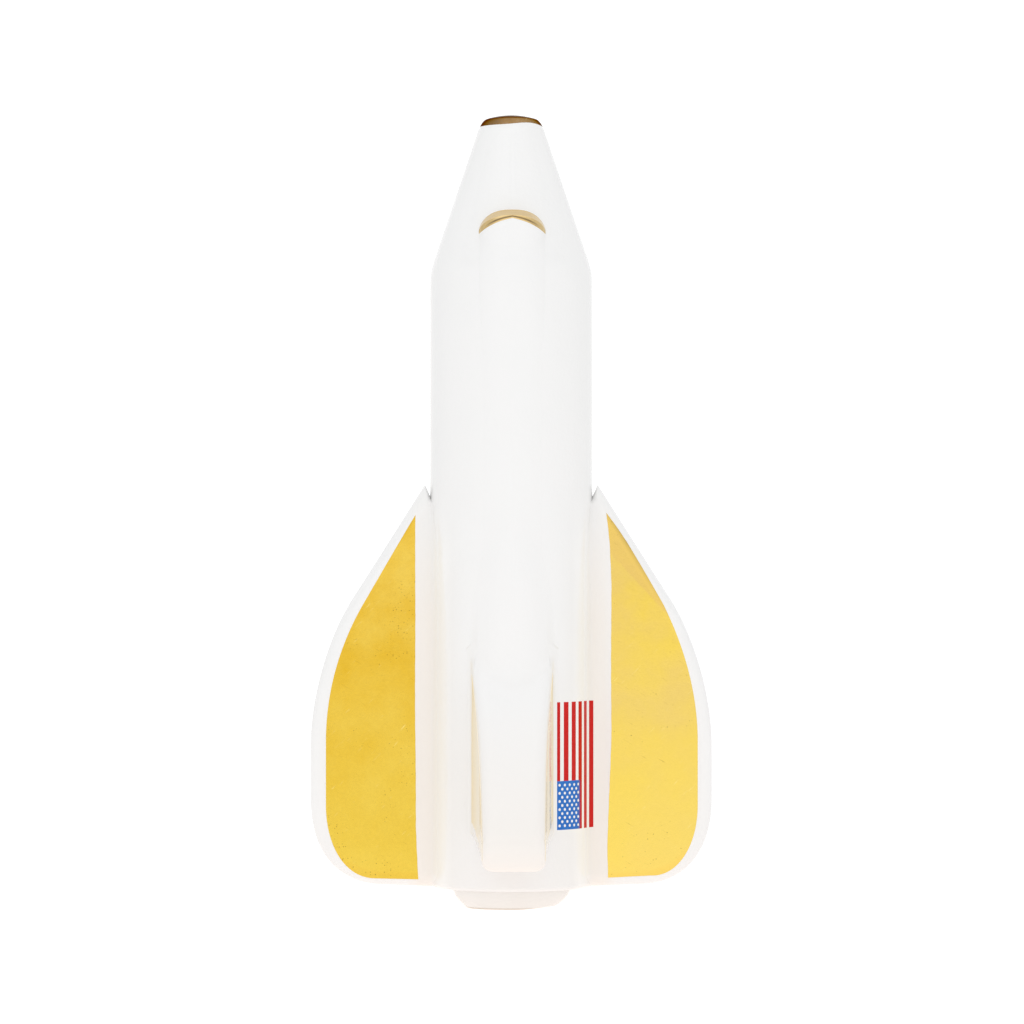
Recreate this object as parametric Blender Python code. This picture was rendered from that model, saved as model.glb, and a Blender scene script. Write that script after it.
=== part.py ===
"""A gilded porcelain ornament in the shape of a winged space plane, standing on its tail.

The castings are a hollow fuselage, a raised canopy and spine, a tail fin, two wings and a foot.
Thin skins stand for what was fired on over the glaze: gold lustre on the nose, the windscreen,
the wings and the fin, and a ceramic flag transfer on the right shoulder.

Frame: metres, +Z up towards the nose, -Y the dorsal side with the fin, +X the right wing.
The origin is the centre of the foot's base. Distances along Y in the sizes below are counted
from the fuselage's axis, which stands AXIS_Y behind the origin.
"""

import bmesh
import bpy
import numpy as np

MM = 0.001

# Overall driving dimensions, in millimetres.
HEIGHT = 300.0              # foot base to the top of the gilded nose
FUSELAGE_RADIUS = 30.9      # half width of the fuselage, and the radius of its round back
BELLY_DEPTH = 5.5           # fuselage axis to the flat belly
AXIS_Y = 12.0               # foot's centre to the fuselage axis
TAIL_Z = 7.0                # aft end of the fuselage, above the foot
TAIL_ROUND = 1.5            # rounding of the fuselage's aft edge
SHOULDER_Z = 240.5          # where the nose cone begins
WALL = 4.0                  # cast wall of the fuselage
GAP = 0.3                   # clear gap left between two touching pieces
SKIN = 0.4                  # thickness given to a gilded or printed skin

# Nose cone: a blunt, slightly domed tip that lies nearer the belly than the back.
NOSE_RIM_Z = 295.3
NOSE_RIM_HALF_WIDTH = 12.3
NOSE_RIM_CROWN = 14.0
NOSE_RIM_BELLY = 6.0
NOSE_EDGE_Z = 297.9
NOSE_EDGE_SCALE = 0.83
NOSE_GILDING_Z = 295.4

# Canopy and spine, raised on the back from the windscreen to the fin.
CANOPY_FRONT_Z = 262.9
WINDSCREEN_TOP_Z = 259.6
WINDSCREEN_DROP = 6.4       # how far the windscreen's top edge falls at its sides
CANOPY_FRONT_RUN = 9.7      # length over which the canopy's rounded front reaches full width
SPINE_HALF_WIDTH = 12.6
SPINE_AFT_HALF_WIDTH = 15.0
SPINE_CROWN = 35.0          # fuselage axis to the top of the spine
SPINE_AFT_Z = 86.0
SPINE_KEEL = 16.0           # the spine's blank reaches this far from the axis before it is fitted

# Tail fin: a thick, drafted slab with a swept leading edge.
FIN_BASE_HALF_WIDTH = 16.2  # at the fuselage's back
FIN_BASE_Y = -27.0
FIN_DRAFT = np.tan(np.radians(8.5))
FIN_TIP_Y = -67.0
FIN_TIP_FRONT_Z = 31.0
FIN_TIP_REAR_Z = 17.5
FIN_ROOT_REAR_Z = 27.0
FIN_EDGE_RADIUS = 3.0

# Wings: cropped deltas with a forward horn, whose undersides run nearly flush with the belly.
WING_TOP_Y = -7.0
WING_ROOT_BOTTOM_Y = 3.5
WING_TIP_BOTTOM_Y = 0.5
WING_ROOT_X = 20.0
WING_SPAN_X = 76.2
WING_HORN = (32.8, 160.6)
WING_NOTCH = (30.4, 152.2)
WING_LEADING_END = (59.3, 118.8)
WING_TIP_FRONT_Z = 60.0
WING_TIP_REAR_Z = 40.0
WING_CORNER_END = (49.5, 7.6)
WING_TRAILING_Z = 6.6
WING_EDGE_RADIUS = 2.4

# Gilded panel on each wing, kept clear of the wing's edge all round.
PANEL_INNER_X = 36.1
PANEL_FRONT = (37.0, 148.1)
PANEL_LEADING_END = (56.2, 114.3)
PANEL_OUTER_X = 70.3
PANEL_TIP_FRONT_Z = 62.0
PANEL_TIP_REAR_Z = 38.0
PANEL_CORNER_END = (52.0, 10.6)

# Foot under the tail, and its vent, which opens the hollow fuselage to the air.
FOOT_TOP_HALF_WIDTH = 22.2
FOOT_BASE_HALF_WIDTH = 17.0
FOOT_CENTRE_Y = -AXIS_Y
FOOT_TOP_HALF_DEPTH = 16.0
FOOT_BASE_HALF_DEPTH = 13.0
VENT_Y = FOOT_CENTRE_Y - 7.5
VENT_RADIUS = 3.0

# Flag transfer on the right shoulder, beside the fin.
FLAG_LOW_Z = 30.0
FLAG_HIGH_Z = 78.5
FLAG_START_DEG = 33.5       # measured round the back from the crown
FLAG_END_DEG = 73.0

RING_POINTS = 40
ARCH_POINTS = 20
CURVE_STEPS = 7

PORCELAIN = (0.90, 0.89, 0.87, 1.0)
BISQUE = (0.80, 0.75, 0.68, 1.0)
GOLD = (0.83, 0.56, 0.13, 1.0)
ANTIQUE_GOLD = (0.55, 0.39, 0.17, 1.0)
PALE_GOLD = (0.86, 0.66, 0.27, 1.0)
FLAG_RED = (0.53, 0.01, 0.01, 1.0)


def clear_scene():
    """Remove every object of the start-up scene."""
    for item in list(bpy.data.objects):
        bpy.data.objects.remove(item, do_unlink=True)


def material(name, colour, roughness, metallic=0.0):
    """Return a Principled material of one colour."""
    made = bpy.data.materials.new(name)
    made.use_nodes = True
    shader = made.node_tree.nodes["Principled BSDF"]
    shader.inputs["Base Color"].default_value = colour
    shader.inputs["Roughness"].default_value = roughness
    shader.inputs["Metallic"].default_value = metallic
    return made


def place_mesh(name, bm, finish=None, smooth_deg=35.0):
    """Turn a bmesh into a named object, with its faces pointing out."""
    bmesh.ops.recalc_face_normals(bm, faces=bm.faces)
    mesh = bpy.data.meshes.new(name)
    bm.to_mesh(mesh)
    bm.free()
    item = bpy.data.objects.new(name, mesh)
    item.location.y = AXIS_Y * MM
    bpy.context.collection.objects.link(item)
    mesh.shade_smooth()
    mesh.set_sharp_from_angle(angle=np.radians(smooth_deg))
    if finish is not None:
        mesh.materials.append(finish)
    return item


def as_cutter(item):
    """Mark an object as a cutter, which is no piece of the ornament."""
    item.hide_render = True
    item.display_type = "WIRE"
    return item


def boolean(item, other, operation="DIFFERENCE"):
    """Add a Boolean modifier with the exact solver."""
    modifier = item.modifiers.new(operation.lower(), "BOOLEAN")
    modifier.operation = operation
    modifier.solver = "EXACT"
    modifier.object = other


def bevel(item, width, segments=2, angle_deg=40.0):
    """Round an object's sharp edges."""
    modifier = item.modifiers.new("rounded_edges", "BEVEL")
    modifier.width = width * MM
    modifier.segments = segments
    modifier.limit_method = "ANGLE"
    modifier.angle_limit = np.radians(angle_deg)


def loft(rings):
    """Bridge a run of equal closed rings and cap both ends. Each ring is an (n, 3) array in mm."""
    bm = bmesh.new()
    loops = []
    for ring in rings:
        loops.append([bm.verts.new(point * MM) for point in ring])
    count = len(loops[0])
    for low, high in zip(loops[:-1], loops[1:]):
        for index in range(count):
            after = (index + 1) % count
            bm.faces.new((low[index], low[after], high[after], high[index]))
    bm.faces.new(loops[0])
    bm.faces.new(loops[-1])
    return bm


def bezier(start, start_handle, end_handle, end, steps=CURVE_STEPS):
    """Points of a cubic curve, without its last point."""
    t = np.linspace(0.0, 1.0, steps, endpoint=False)[:, None]
    a, b, c, d = (np.array(point, float) for point in (start, start_handle, end_handle, end))
    return (1 - t) ** 3 * a + 3 * (1 - t) ** 2 * t * b + 3 * (1 - t) * t ** 2 * c + t ** 3 * d


def prism(outline, y_front, y_back):
    """Extrude a closed (x, z) outline along Y, from y_front to y_back, which may vary with x."""
    bm = bmesh.new()
    front = [bm.verts.new((x * MM, y_front(x) * MM, z * MM)) for x, z in outline]
    back = [bm.verts.new((x * MM, y_back(x) * MM, z * MM)) for x, z in outline]
    bm.faces.new(front)
    bm.faces.new(back)
    count = len(outline)
    for index in range(count):
        after = (index + 1) % count
        bm.faces.new((front[index], front[after], back[after], back[index]))
    return bm


# The fuselage.


def fuselage_section(z, half_width, crown, belly, grow=0.0):
    """One section: a half ellipse over the back, and a squarer half over the flat belly."""
    angle = np.linspace(0.0, 2 * np.pi, RING_POINTS, endpoint=False)
    cosine, sine = np.cos(angle), np.sin(angle)
    power = np.where(sine > 0.0, 2 / 3.4, 1.0)
    x = (half_width + grow) * np.sign(cosine) * np.abs(cosine) ** power
    depth = np.where(sine > 0.0, belly + grow, crown + grow)
    y = depth * np.sign(sine) * np.abs(sine) ** power
    return np.column_stack([x, y, np.full_like(x, z)])


def cone_size(z):
    """Half width, crown and belly depth of the fuselage at a height."""
    along = np.clip((z - SHOULDER_Z) / (NOSE_RIM_Z - SHOULDER_Z), 0.0, 1.0)
    half_width = FUSELAGE_RADIUS + along * (NOSE_RIM_HALF_WIDTH - FUSELAGE_RADIUS)
    crown = FUSELAGE_RADIUS + along * (NOSE_RIM_CROWN - FUSELAGE_RADIUS)
    belly = BELLY_DEPTH + along * (NOSE_RIM_BELLY - BELLY_DEPTH)
    return half_width, crown, belly


def fuselage_body(grow, tail_z, top_z):
    """The fuselage's outer form, grown or shrunk all round, from the tail to the domed nose."""
    stations = (90.0, 165.0, SHOULDER_Z - 1.5, SHOULDER_Z + 2.5, 258.0, 277.0, NOSE_RIM_Z)
    rings = [fuselage_section(tail_z, *cone_size(tail_z), grow - TAIL_ROUND),
             fuselage_section(tail_z + TAIL_ROUND, *cone_size(tail_z), grow)]
    rings += [fuselage_section(z, *cone_size(z), grow) for z in stations if z > tail_z]
    edge = NOSE_EDGE_SCALE
    rim = (NOSE_RIM_HALF_WIDTH, NOSE_RIM_CROWN, NOSE_RIM_BELLY)
    rings.append(fuselage_section(NOSE_EDGE_Z + 0.6 * grow, *(edge * size for size in rim), grow))
    rings.append(fuselage_section(top_z - 0.4, *(0.5 * size for size in rim), 0.6 * grow))
    rings.append(fuselage_section(top_z, *(0.15 * size for size in rim)))
    return loft(rings)


def cavity_body():
    """The hollow that the slip leaves, a wall's thickness inside the fuselage."""
    stations = (TAIL_Z + WALL, 90.0, SHOULDER_Z - 1.0, 262.0, 284.0, 290.0)
    rings = [fuselage_section(z, *cone_size(z), -WALL) for z in stations[:-1]]
    half_width, crown, belly = cone_size(stations[-1])
    rings.append(fuselage_section(stations[-1], 0.3 * half_width, 0.3 * crown, 0.3 * belly))
    return loft(rings)


def vent_body(low_z, high_z):
    """A round pin that cuts the vent."""
    bm = bmesh.new()
    bmesh.ops.create_cone(bm, cap_ends=True, segments=20, radius1=VENT_RADIUS * MM,
                          radius2=VENT_RADIUS * MM, depth=(high_z - low_z) * MM)
    middle = 0.5 * (low_z + high_z)
    bmesh.ops.translate(bm, verts=bm.verts, vec=(0.0, VENT_Y * MM, middle * MM))
    return bm


def build_fuselage(finish):
    """Hollow slip-cast fuselage, with a vent through its tail wall."""
    shell = place_mesh("fuselage_shell", fuselage_body(0.0, TAIL_Z, HEIGHT - GAP - SKIN), finish)
    boolean(shell, as_cutter(place_mesh("cut_cavity", cavity_body())))
    boolean(shell, as_cutter(place_mesh("cut_tail_vent", vent_body(0.0, 30.0))))
    return shell


# The canopy and spine.


def spine_crown(z):
    """Distance of the spine's top line from the fuselage axis."""
    drops = np.array([0.0, 0.7, 2.6, 5.2, 10.2])
    return np.interp(z, [215.0, 235.0, 250.0, WINDSCREEN_TOP_Z + 1.2, CANOPY_FRONT_Z],
                     SPINE_CROWN - drops)


def spine_half_width(z):
    """Half width of the spine: a rounded front, a straight run, then a flare to the fin."""
    run = np.interp(z, [SPINE_AFT_Z, 200.0], [SPINE_AFT_HALF_WIDTH, SPINE_HALF_WIDTH])
    front = np.clip((CANOPY_FRONT_Z + 0.3 - z) / CANOPY_FRONT_RUN, 0.0, 1.0)
    return run * front ** (1 / 4.6)


def spine_section(z, grow):
    """An arch that stands on a keel inside the fuselage."""
    half_width = spine_half_width(z) + grow
    crown = spine_crown(z) + grow
    spring = crown - 9.0
    angle = np.linspace(0.0, np.pi, ARCH_POINTS)
    x = half_width * np.cos(angle)
    y = -spring - (crown - spring) * np.sin(angle) ** 0.85
    x = np.concatenate([[half_width], x, [-half_width]])
    y = np.concatenate([[-SPINE_KEEL], y, [-SPINE_KEEL]])
    return np.column_stack([x, y, np.full_like(x, z)])


def spine_body(grow, aft_z):
    """The blank of the canopy and spine, before it is fitted to the fuselage."""
    stations = (140.0, 200.0, 225.0, 240.0, 250.0, 254.0, 257.0, 259.0, 260.8, 261.8, 262.5)
    rings = [spine_section(aft_z, grow)]
    rings += [spine_section(z, grow) for z in stations if z > aft_z]
    rings.append(spine_section(CANOPY_FRONT_Z, grow) + np.array([0.0, 0.0, grow]))
    return loft(rings)


def build_spine(finish, envelope):
    """Canopy and spine, luted along the fuselage's back."""
    spine = place_mesh("canopy_and_spine", spine_body(0.0, SPINE_AFT_Z + GAP), finish)
    boolean(spine, envelope)
    return spine


# The tail fin.


def fin_outline():
    """Side outline of the fin as (y, z) points, from its keel round the tip and back."""
    leading = bezier((-SPINE_CROWN, SPINE_AFT_Z), (-41.0, 74.0), (-54.0, 51.0),
                     (FIN_TIP_Y, FIN_TIP_FRONT_Z), 8)
    tip = bezier((FIN_TIP_Y, FIN_TIP_FRONT_Z), (FIN_TIP_Y - 3.0, 25.0),
                 (FIN_TIP_Y - 2.5, FIN_TIP_REAR_Z), (FIN_TIP_Y + 5.0, FIN_TIP_REAR_Z), 5)
    rear = [(FIN_TIP_Y + 5.0, FIN_TIP_REAR_Z), (FIN_BASE_Y, FIN_ROOT_REAR_Z)]
    keel = [(-SPINE_KEEL, FIN_ROOT_REAR_Z), (-SPINE_KEEL, SPINE_AFT_Z)]
    return [tuple(point) for point in np.vstack([leading, tip, rear, keel])]


def fin_half_width(y):
    """Half width of the drafted fin at a distance from the axis."""
    return FIN_BASE_HALF_WIDTH - FIN_DRAFT * (FIN_BASE_Y - y)


def build_fin(finish, envelope):
    """Tail fin, luted on the fuselage behind the spine."""
    bm = bmesh.new()
    sides = []
    for side in (-1.0, 1.0):
        sides.append([bm.verts.new((side * fin_half_width(y) * MM, y * MM, z * MM))
                      for y, z in fin_outline()])
    left, right = sides
    bm.faces.new(left)
    bm.faces.new(right)
    for index in range(len(left)):
        after = (index + 1) % len(left)
        bm.faces.new((left[index], left[after], right[after], right[index]))
    fin = place_mesh("tail_fin", bm, finish)
    bevel(fin, FIN_EDGE_RADIUS, 2, 50.0)
    boolean(fin, envelope)
    return fin


def leaf_outline():
    """Leaf-shaped outline of the fin's gilding, as (y, z) points on its flank."""
    upper = bezier((-37.5, 78.0), (-45.0, 66.0), (-53.0, 53.0), (-60.0, 36.0))
    lower = bezier((-60.0, 36.0), (-63.0, 26.0), (-53.0, 26.0), (-40.0, 31.0))
    root = bezier((-40.0, 31.0), (-33.5, 34.0), (-32.5, 50.0), (-37.5, 78.0))
    return np.vstack([upper, lower, root])


def build_fin_gilding(name, side, finish):
    """Gold lustre on one flank of the fin."""
    bm = bmesh.new()
    layers = []
    for rise in (GAP, GAP + SKIN):
        layers.append([bm.verts.new((side * (fin_half_width(y) + rise) * MM, y * MM, z * MM))
                       for y, z in leaf_outline()])
    under, over = layers
    bm.faces.new(under)
    bm.faces.new(over)
    for index in range(len(under)):
        after = (index + 1) % len(under)
        bm.faces.new((under[index], under[after], over[after], over[index]))
    return place_mesh(name, bm, finish)


# The wings.


def wing_outline(side):
    """Plan of one wing as (x, z) points: root, trailing edge, rounded tip, leading edge, horn."""
    root = [(WING_ROOT_X, WING_NOTCH[1]), (WING_ROOT_X, WING_TRAILING_Z)]
    corner = bezier(WING_CORNER_END, (65.5, 8.2), (WING_SPAN_X - 0.3, 19.5),
                    (WING_SPAN_X, WING_TIP_REAR_Z))
    leading = bezier((WING_SPAN_X, WING_TIP_FRONT_Z), (WING_SPAN_X, 79.0), (69.4, 102.9),
                     WING_LEADING_END)
    front = [WING_LEADING_END, WING_HORN, WING_NOTCH]
    points = np.vstack([root, corner, [(WING_SPAN_X, WING_TIP_REAR_Z)], leading, front])
    return [(side * x, z) for x, z in points]


def wing_bottom(x):
    """Underside of the wing, which thins towards the tip."""
    return np.interp(abs(x), [WING_ROOT_X, WING_SPAN_X], [WING_ROOT_BOTTOM_Y, WING_TIP_BOTTOM_Y])


def build_wing(name, side, finish, envelope):
    """One wing, with rounded edges, fitted to the fuselage's side."""
    bm = prism(wing_outline(side), lambda x: WING_TOP_Y, wing_bottom)
    wing = place_mesh(name, bm, finish)
    bevel(wing, WING_EDGE_RADIUS, 2, 50.0)
    boolean(wing, envelope)
    return wing


def panel_outline(side):
    """Outline of a wing's gilding as (x, z) points."""
    inner = [(PANEL_INNER_X, 12.0), (PANEL_INNER_X + 2.0, 10.4)]
    tip = bezier(PANEL_CORNER_END, (63.0, 11.4), (PANEL_OUTER_X, 22.0),
                 (PANEL_OUTER_X, PANEL_TIP_REAR_Z))
    leading = bezier((PANEL_OUTER_X, PANEL_TIP_FRONT_Z), (PANEL_OUTER_X, 80.0), (65.8, 97.5),
                     PANEL_LEADING_END)
    front = [PANEL_LEADING_END, PANEL_FRONT, (PANEL_INNER_X, 147.0)]
    points = np.vstack([inner, tip, [(PANEL_OUTER_X, PANEL_TIP_REAR_Z)], leading, front])
    return [(side * x, z) for x, z in points]


def build_wing_gilding(name, side, finish):
    """Gold lustre on a wing's upper face."""
    low = WING_TOP_Y - GAP - SKIN
    high = WING_TOP_Y - GAP
    return place_mesh(name, prism(panel_outline(side), lambda x: low, lambda x: high), finish)


# The foot, the nose and windscreen gilding, and the flag.


def foot_section(z, half_width, half_depth):
    """A rounded rectangle."""
    angle = np.linspace(0.0, 2 * np.pi, RING_POINTS, endpoint=False)
    cosine, sine = np.cos(angle), np.sin(angle)
    power = 2 / 4.0
    x = half_width * np.sign(cosine) * np.abs(cosine) ** power
    y = FOOT_CENTRE_Y + half_depth * np.sign(sine) * np.abs(sine) ** power
    return np.column_stack([x, y, np.full_like(x, z)])


def build_foot(finish):
    """Foot that the ornament stands on, with the vent through it."""
    top_z = TAIL_Z - GAP
    levels = np.array([0.0, 0.1, 0.35, 1.0])
    rings = []
    for level in levels:
        bulge = np.sin(0.5 * np.pi * level) ** 0.8
        half_width = FOOT_BASE_HALF_WIDTH + bulge * (FOOT_TOP_HALF_WIDTH - FOOT_BASE_HALF_WIDTH)
        half_depth = FOOT_BASE_HALF_DEPTH + bulge * (FOOT_TOP_HALF_DEPTH - FOOT_BASE_HALF_DEPTH)
        rings.append(foot_section(level * top_z, half_width, half_depth))
    foot = place_mesh("tail_foot", loft(rings), finish)
    boolean(foot, as_cutter(place_mesh("cut_foot_vent", vent_body(-5.0, 20.0))))
    return foot


def slab_above(low_z):
    """A wide block that keeps only what lies above a height."""
    bm = bmesh.new()
    bmesh.ops.create_cube(bm, size=80.0 * MM)
    bmesh.ops.translate(bm, verts=bm.verts, vec=(0.0, 0.0, (low_z + 40.0) * MM))
    return bm


def build_nose_gilding(finish):
    """Gold lustre over the domed nose tip."""
    cap = place_mesh("nose_gilding", fuselage_body(GAP + SKIN, 200.0, HEIGHT), finish)
    boolean(cap, as_cutter(place_mesh("keep_nose", slab_above(NOSE_GILDING_Z))), "INTERSECT")
    inner = fuselage_body(GAP, 150.0, HEIGHT - SKIN)
    boolean(cap, as_cutter(place_mesh("cut_nose_inner", inner)))
    return cap


def windscreen_keep():
    """Prism over the windscreen, whose lower edge is the windscreen's arched top edge."""
    across = np.linspace(-1.0, 1.0, 13)
    lower = [(x * 16.0, WINDSCREEN_TOP_Z - WINDSCREEN_DROP * abs(x) ** 1.8) for x in across]
    upper = [(16.0, 280.0), (-16.0, 280.0)]
    return prism(lower + upper, lambda x: -60.0, lambda x: 0.0)


def build_windscreen_gilding(finish, envelope):
    """Gold lustre on the steep front of the canopy."""
    glass = place_mesh("windscreen_gilding", spine_body(GAP + SKIN, 230.0), finish)
    boolean(glass, envelope)
    boolean(glass, as_cutter(place_mesh("keep_windscreen", windscreen_keep())), "INTERSECT")
    boolean(glass, as_cutter(place_mesh("cut_canopy", spine_body(GAP, 215.0))))
    return glass


def build_flag(finish):
    """Printed flag transfer, wrapped round the right shoulder."""
    angle = np.radians(np.linspace(FLAG_START_DEG, FLAG_END_DEG, 12))
    outer = FUSELAGE_RADIUS + GAP + SKIN
    inner = FUSELAGE_RADIUS + GAP
    angles = np.concatenate([angle, angle[::-1]])
    radii = np.concatenate([np.full_like(angle, outer), np.full_like(angle, inner)])
    rings = []
    for z in (FLAG_LOW_Z, FLAG_HIGH_Z):
        rings.append(np.column_stack([radii * np.sin(angles), -radii * np.cos(angles),
                                      np.full_like(radii, z)]))
    return place_mesh("flag_transfer", loft(rings), finish)


def build():
    """Build every piece of the ornament."""
    clear_scene()
    glaze = material("glazed_porcelain", PORCELAIN, 0.08)
    bare = material("bare_foot", BISQUE, 0.6)
    gold = material("gold_lustre", GOLD, 0.18, 1.0)
    pale = material("pale_gold_lustre", PALE_GOLD, 0.15, 1.0)
    antique = material("antique_gold_lustre", ANTIQUE_GOLD, 0.15, 1.0)
    print_red = material("flag_print", FLAG_RED, 0.2)

    envelope_bm = fuselage_body(GAP, -20.0, HEIGHT)
    envelope = as_cutter(place_mesh("fitting_envelope", envelope_bm))
    build_fuselage(glaze)
    build_spine(glaze, envelope)
    build_fin(glaze, envelope)
    build_wing("left_wing", -1.0, glaze, envelope)
    build_wing("right_wing", 1.0, glaze, envelope)
    build_foot(bare)
    build_nose_gilding(antique)
    build_windscreen_gilding(pale, envelope)
    build_wing_gilding("left_wing_gilding", -1.0, gold)
    build_wing_gilding("right_wing_gilding", 1.0, gold)
    build_fin_gilding("left_fin_gilding", -1.0, pale)
    build_fin_gilding("right_fin_gilding", 1.0, pale)
    build_flag(print_red)


build()
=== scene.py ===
"""A gilded porcelain ornament in the shape of a winged space plane, standing on its tail.

The file follows the ornament as it was put together: the hollow fuselage, the canopy and spine
along its back, the fin, the wings and the foot, all white glazed porcelain, and then what was
fired on afterwards: the gold lustre and the flag transfer. The studio comes last.
Lengths are in millimetres until a mesh is made. "Height" over the back means the distance from
the fuselage's axis towards the fin, which is -Y; "level" means Z.
"""

import bpy
import numpy as np
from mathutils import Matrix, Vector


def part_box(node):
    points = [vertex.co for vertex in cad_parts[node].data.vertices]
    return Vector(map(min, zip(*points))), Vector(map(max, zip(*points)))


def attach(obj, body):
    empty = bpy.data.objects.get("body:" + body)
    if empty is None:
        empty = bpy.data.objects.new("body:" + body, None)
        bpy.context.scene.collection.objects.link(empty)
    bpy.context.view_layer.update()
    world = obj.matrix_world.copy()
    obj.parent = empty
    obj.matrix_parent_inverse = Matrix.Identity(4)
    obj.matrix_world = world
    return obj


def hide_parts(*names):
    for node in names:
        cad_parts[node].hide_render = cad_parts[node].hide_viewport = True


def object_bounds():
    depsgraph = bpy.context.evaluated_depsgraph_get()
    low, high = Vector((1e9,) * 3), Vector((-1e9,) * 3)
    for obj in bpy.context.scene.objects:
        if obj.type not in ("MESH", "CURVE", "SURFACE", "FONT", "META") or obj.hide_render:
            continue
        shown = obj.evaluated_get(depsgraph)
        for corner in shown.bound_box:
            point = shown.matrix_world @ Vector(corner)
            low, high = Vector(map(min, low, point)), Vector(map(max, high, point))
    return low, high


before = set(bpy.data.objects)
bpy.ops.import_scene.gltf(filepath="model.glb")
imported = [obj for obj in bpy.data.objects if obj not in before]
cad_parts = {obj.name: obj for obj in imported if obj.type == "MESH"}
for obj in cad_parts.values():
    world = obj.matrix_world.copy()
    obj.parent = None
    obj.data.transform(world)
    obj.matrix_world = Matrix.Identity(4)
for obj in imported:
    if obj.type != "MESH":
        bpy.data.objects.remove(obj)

# ----------------------------------------------------------------------
# Fuselage. A hollow slip casting about 4 mm thick, with a half-round back, a flat belly and a
# blunt nose cone, vented through a hole in the tail. The glaze is white and glossy, a little
# uneven where it has run, with a painted warm shade in the wing roots and low on the back, a
# painted highlight on the flanks above the wings, and a few iron specks.

MM = 0.001
cad_low, cad_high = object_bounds()

shell_low, shell_high = (np.array(corner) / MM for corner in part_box("fuselage_shell"))
radius = shell_high[0]                      # half width, and radius of the half-round back
axis_y = shell_low[1] + radius              # where the axis stands along Y
nose_belly = shell_high[1] - axis_y         # axis to the chin
belly_depth = nose_belly - 0.5              # axis to the flat belly
tail_level = shell_low[2]
nose_level = cad_high[2] / MM - 0.07        # the gilding's film comes on top
shoulder_level = 0.8017 * nose_level        # where the nose cone starts
rim_level = 0.9846 * nose_level
rim_half_width = 0.398 * radius
rim_crown = 0.453 * radius
cast_wall = 4.0
vent_radius, vent_y = 3.0, -7.5
dome_radius = 30.0                          # of the nose's shallow tip
cone_slope = 2.946
nose_half = 12.55                           # half width where the dome has become the cone
AROUND = 288                                # corners in an outline


def soft_min(a, b, blend):
    """The smaller of a and b, rounded by a parabola where they differ by less than blend."""
    near = np.maximum(blend - np.abs(a - b), 0.0) / blend
    return np.minimum(a, b) - near * near * blend / 4


def soft_max(a, b, blend):
    """The larger of a and b, rounded by a parabola where they differ by less than blend."""
    return -soft_min(-a, -b, blend)


def ease(t):
    """Cubic step that leaves 0 and reaches 1 without a corner."""
    t = np.clip(t, 0.0, 1.0)
    return t * t * (3 - 2 * t)


def cone_run(level):
    """Share of the nose cone passed at a level: a ramp from the shoulder, with a soft knee."""
    knee = 1.5
    return knee * np.logaddexp(0.0, (level - shoulder_level) / knee) / (rim_level - shoulder_level)


def half_width(level):
    """Half width of the fuselage: the radius, less the cone's even taper."""
    return radius + cone_run(level) * (rim_half_width - radius)


def seam_height(x, level):
    """The fettled mould seam, a few hundredths of a millimetre high, wandering along the back."""
    line = 0.4 + 1.1 * np.sin(level / 61.0 + 0.6) + 0.5 * np.sin(level / 19.0)
    return 0.035 * np.exp(-(((x - line) / 0.7) ** 2))


def back_height(x, level):
    """Height of the bare back over the axis: a half ellipse on the width and crown at a level."""
    crown = radius + cone_run(level) * (rim_crown - radius)
    across = np.clip(np.abs(x) / half_width(level), 0.0, 1.0)
    return crown * np.sqrt(1 - across**2) + seam_height(x, level)


def section(angle, width, crown, belly):
    """Round outline: x = width cos a, height = crown sin a; below the axis a squarer curve,
    with both the sine and the cosine raised to a power under one."""
    cosine, sine = np.cos(angle), np.sin(angle)
    power = np.where(sine < 0, 2 / 3.4, 1.0)
    x = width * np.sign(cosine) * np.abs(cosine) ** power
    height = np.where(sine < 0, belly, crown) * np.sign(sine) * np.abs(sine) ** power
    return x, height


def to_points(x, height, level):
    """Stack x, height over the axis and level into (..., 3) points."""
    x, height, level = np.broadcast_arrays(x, height, level)
    return np.stack([x, axis_y - height, level], axis=-1)


def make_piece(name, points, faces, smooth_deg=50.0):
    """Make a mesh object from points in mm and rows of four corners, the last one repeated for a
    triangle. The faces are flipped if they enclose a negative volume, so that they face out."""
    points = np.asarray(points, float).reshape(-1, 3)
    a, b, c, d = (points[corner] for corner in faces.T)
    volume = np.einsum("ij,ij->", a, np.cross(b, c) + np.cross(c, d))
    is_triangle = faces[:, 2] == faces[:, 3]
    quads, triangles = faces[~is_triangle], faces[is_triangle, :3]
    if volume < 0:
        quads, triangles = quads[:, ::-1], triangles[:, ::-1]
    mesh = bpy.data.meshes.new(name)
    mesh.from_pydata(points * MM, [], quads.tolist() + triangles.tolist())
    mesh.shade_smooth()
    mesh.set_sharp_from_angle(angle=np.radians(smooth_deg))
    piece = bpy.data.objects.new(name, mesh)
    bpy.context.scene.collection.objects.link(piece)
    return piece


def ring_faces(rows, columns, looped=False):
    """Quads between rings of equal size, each ring closed on itself. The ends close on a pole,
    vertices rows*columns and rows*columns + 1, or the last ring joins the first."""
    row, column = np.meshgrid(np.arange(rows - 1 + looped), np.arange(columns), indexing="ij")
    row, column = row.ravel(), column.ravel()
    above, after = (row + 1) % rows, (column + 1) % columns
    quads = np.stack([row * columns + column, row * columns + after,
                      above * columns + after, above * columns + column], axis=1)
    if looped:
        return quads
    column = np.arange(columns)
    after = (column + 1) % columns
    pole = np.full(columns, rows * columns)
    last = (rows - 1) * columns
    start = np.stack([pole, after, column, column], axis=1)
    end = np.stack([pole + 1, last + column, last + after, last + after], axis=1)
    return np.vstack([quads, start, end])


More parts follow.
